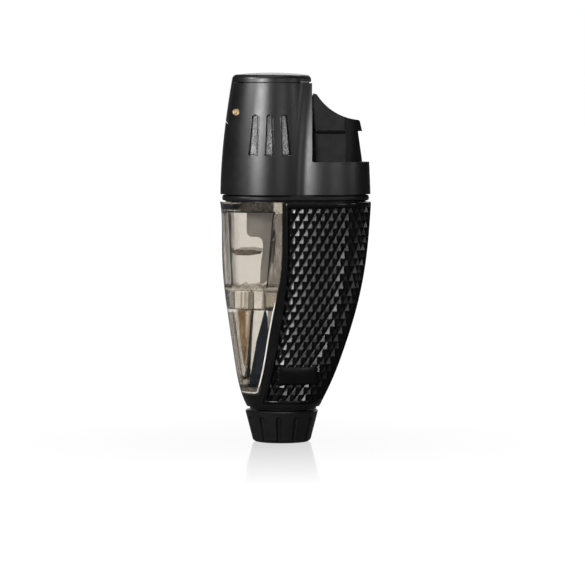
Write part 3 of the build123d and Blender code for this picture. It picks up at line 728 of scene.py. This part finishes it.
def build_groove_lip(name, groove, side):
    """Fine raised lip round a groove's edge."""
    lip_r, lip_depth, steps = 0.085, 0.03, 40
    outline = [groove_edge(groove, up / steps, -0.02) for up in range(steps + 1)]
    path = [(left, z) for left, right, z in outline] + [(right, z) for left, right, z in outline[::-1]]
    vertices, loops = [], []
    for k, (x, z) in enumerate(path):
        before, after = path[k - 1], path[(k + 1) % len(path)]
        along = Vector((after[0] - before[0], after[1] - before[1]))
        along = along.normalized() if along.length else Vector((1, 0))
        points = []
        for out, up in circle(6):
            aside = lip_r * out
            points.append(on_barrel(x + along.y * aside, z - along.x * aside, lip_depth - lip_r * up, side))
        loops.append(add_row(vertices, points))
    faces = strip_faces(loops + [loops[0]], closed=True)
    place(name, vertices, faces, black_gloss, flat=False)


def build_grooves():
    """Three grooves on each side of the barrel."""
    rng = np.random.default_rng(4)
    for side, word in both_sides:
        for number, groove in enumerate(grooves, 1):
            build_groove_floor(f"groove_floor_{word}_{number}", groove, side, rng)
            build_groove_lip(f"groove_lip_{word}_{number}", groove, side)


def build_rim_gasket():
    """Thin rubber gasket on the head's rim, open at the lid's arm, which closes the seam under the lid."""
    centre, front_stop, rim_r = -2.29, -8.3, 8.6
    low, high = head_top - 0.02, head_top + 0.22
    outer, inner = 0.22, 1.25               # depths of its two walls under the rim's radius
    loops, vertices = [], []
    for depth, z in ((outer, low), (outer, high), (inner, high), (inner, low)):
        reach = rim_r - depth
        stop = math.acos((front_stop - centre) / reach)
        points = [(centre + reach * math.cos(angle), reach * math.sin(angle), z)
                  for angle in np.linspace(-stop, stop, 96)]
        loops.append(add_row(vertices, points))
    faces = strip_faces(loops + [loops[0]])
    faces += [tuple(loop[k] for loop in loops) for k in (0, -1)]
    place("rim_gasket", vertices, faces, rubber)


def build_trigger_shade_and_beads():
    """Near-black matte strip under the thumb button on each side, painted shade of the button's overhang, and
    the fine bead along the button's lower edge.
    """
    button_low, button_high = [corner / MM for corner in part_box("trigger_button")]
    slider_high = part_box("trigger_slider")[1] / MM
    front, back = button_low.x + 0.5, 13.9      # the flat part of the sides
    # How far the face of the painted shade strip stands out from the slider, and how far it is below the
    # button.
    profile = [(-0.1, 0.62), (0.0, 0.6), (0.03, 0.52), (0.03, 0.04), (-0.1, 0.02)]
    # At its front end the shade strip narrows, over this length, by up to this share.
    corner_length, corner_share = 0.6, 0.45
    bead_wide, bead_tall, bead_lift = 0.1, 0.12, 0.16
    for side, word in both_sides:
        vertices, rows = [], []
        for proud, drop in profile:
            points = []
            for x in np.linspace(front, back, 20):
                corner = corner_share * max(0.0, 1 - (x - front) / corner_length)**2
                points.append((float(x), side * (slider_high.y + proud), button_low.z - drop * (1 - corner)))
            rows.append(add_row(vertices, points))
        place(f"trigger_shade_{word}", vertices, strip_faces(rows), shade_strip_black,
              body="trigger")
        vertices, loops = [], []
        for x in np.linspace(front, back - 0.2, 24):
            points = []
            for out, up in circle(8):
                height = button_low.z + bead_lift + bead_tall * up
                points.append((float(x), side * (button_high.y + bead_wide * out), height))
            loops.append(add_row(vertices, points))
        faces = strip_faces(loops, closed=True) + [tuple(loops[0]), tuple(loops[-1])]
        place(f"trigger_bead_{word}", vertices, faces, black_gloss, body="trigger",
              flat=False)


build_grooves()
build_rim_gasket()
build_trigger_shade_and_beads()


# ---------------------------------------------------------------- stage, camera, light

def area_light(name, azimuth, elevation, distance, width, height, power):
    """Softbox aimed at the middle of the lighter; azimuth 0 is the camera's side, positive to its right."""
    turn, lift = math.radians(azimuth), math.radians(elevation)
    centre = (cad_low + cad_high) / 2
    away = Vector((math.sin(turn) * math.cos(lift), -math.cos(turn) * math.cos(lift), math.sin(lift)))
    data = bpy.data.lights.new(name, "AREA")
    data.shape = "RECTANGLE"
    data.size, data.size_y = width, height
    data.energy = power
    light = bpy.data.objects.new(name, data)
    light.location = centre + away * distance
    light.rotation_mode = "QUATERNION"
    light.rotation_quaternion = (-away).to_track_quat("-Z", "Y")
    bpy.context.scene.collection.objects.link(light)


def build_camera():
    """Nearly level side view; the frame is a little wider than the lighter is tall."""
    distance, tilt = 0.85, math.radians(3.1)
    frame_width, sensor_mm = 0.1287, 36
    target = Vector((0.00238, 0, 0.0328))
    data = bpy.data.cameras.new("camera")
    data.sensor_width = sensor_mm
    data.lens = sensor_mm * distance / frame_width
    camera = bpy.data.objects.new("camera", data)
    away = Vector((0, -math.cos(tilt), math.sin(tilt)))
    camera.location = target + away * distance
    camera.rotation_mode = "QUATERNION"
    camera.rotation_quaternion = (-away).to_track_quat("-Z", "Y")
    bpy.context.scene.collection.objects.link(camera)
    bpy.context.scene.camera = camera


def combine(tree, operation, first, second):
    """Maths node on two values."""
    node = tree.nodes.new("ShaderNodeMath")
    node.operation = operation
    tree.links.new(first, node.inputs[0])
    tree.links.new(second, node.inputs[1])
    return node.outputs[0]


def seen_directly(tree):
    """One for rays from the camera and through clear plastic, zero for reflected and scattered light."""
    path = tree.nodes.new("ShaderNodeLightPath")
    return combine(tree, "MAXIMUM", path.outputs["Is Camera Ray"], path.outputs["Is Transmission Ray"])


def build_floor():
    """Glowing white table with a faint reflection that dies away from the foot."""
    reach = 6.0                             # half the length of its sides
    shine, shine_reach = 0.38, 0.105        # the reflection's strength at the foot, and where it ends
    glow_cast, glow_seen = 0.10, 1.04       # brightness as light on the lighter, and as seen
    mesh = bpy.data.meshes.new("floor")
    corners = [(-reach, -reach, 0), (reach, -reach, 0), (reach, reach, 0), (-reach, reach, 0)]
    mesh.from_pydata(corners, [], [(0, 1, 2, 3)])
    floor = bpy.data.objects.new("floor", mesh)
    bpy.context.scene.collection.objects.link(floor)
    material = bpy.data.materials.new("floor_white")
    material.use_nodes = True
    tree = material.node_tree
    tree.nodes.clear()
    coords = tree.nodes.new("ShaderNodeTexCoord")
    distance = tree.nodes.new("ShaderNodeVectorMath")
    distance.operation = "LENGTH"
    tree.links.new(coords.outputs["Object"], distance.inputs[0])
    fade = spread(tree, distance.outputs["Value"], shine, 0.0, start=0.0, end=shine_reach)
    path = tree.nodes.new("ShaderNodeLightPath")
    shine_seen = combine(tree, "MULTIPLY", fade, path.outputs["Is Camera Ray"])
    glow = tree.nodes.new("ShaderNodeEmission")
    level = spread(tree, seen_directly(tree), glow_cast, glow_seen, start=0.0, end=1.0)
    tree.links.new(level, glow.inputs["Strength"])
    mirror = tree.nodes.new("ShaderNodeBsdfGlossy")
    mirror.inputs["Roughness"].default_value = 0.08
    mix = tree.nodes.new("ShaderNodeMixShader")
    out = tree.nodes.new("ShaderNodeOutputMaterial")
    tree.links.new(shine_seen, mix.inputs["Fac"])
    tree.links.new(glow.outputs[0], mix.inputs[1])
    tree.links.new(mirror.outputs[0], mix.inputs[2])
    tree.links.new(mix.outputs[0], out.inputs["Surface"])
    mesh.materials.append(material)


def build_world():
    """White backdrop behind the lighter and through its tank, a dim room in its reflections."""
    room_light, backdrop_light = 0.02, 1.0
    backdrop_edge, backdrop_full = 0.90, 0.995      # Y of the directions where it starts and is full
    world = bpy.data.worlds.new("studio")
    world.use_nodes = True
    tree = world.node_tree
    tree.nodes.clear()
    coords = tree.nodes.new("ShaderNodeTexCoord")
    parts = tree.nodes.new("ShaderNodeSeparateXYZ")
    tree.links.new(coords.outputs["Generated"], parts.inputs[0])
    behind = spread(tree, parts.outputs["Y"], room_light, backdrop_light, start=backdrop_edge,
                    end=backdrop_full, smooth=True)
    strength = combine(tree, "MAXIMUM", seen_directly(tree), behind)
    sky = tree.nodes.new("ShaderNodeBackground")
    sky.inputs["Color"].default_value = (1, 1, 1, 1)
    tree.links.new(strength, sky.inputs["Strength"])
    out = tree.nodes.new("ShaderNodeOutputWorld")
    tree.links.new(sky.outputs[0], out.inputs["Surface"])
    bpy.context.scene.world = world


# Name, azimuth and elevation in degrees, distance, width and height in metres, and power in watts.
lights = [
    ("key", -27, 15, 0.7, 0.27, 0.12, 5.4),
    ("grip_strip", -62, 29, 0.7, 0.12, 0.14, 3.3),
    ("fill_right", 31, 11, 0.7, 0.28, 0.20, 0.6),
    ("strip_right", 68, 14, 0.8, 0.12, 0.16, 0.5),
    ("top", 0, 82, 0.7, 0.5, 0.4, 1.0),
    ("back", 165, 35, 0.9, 0.6, 0.5, 3.0),
]

build_camera()
build_floor()
build_world()
bpy.context.scene.view_settings.view_transform = "Standard"
for light in lights:
    area_light(*light)
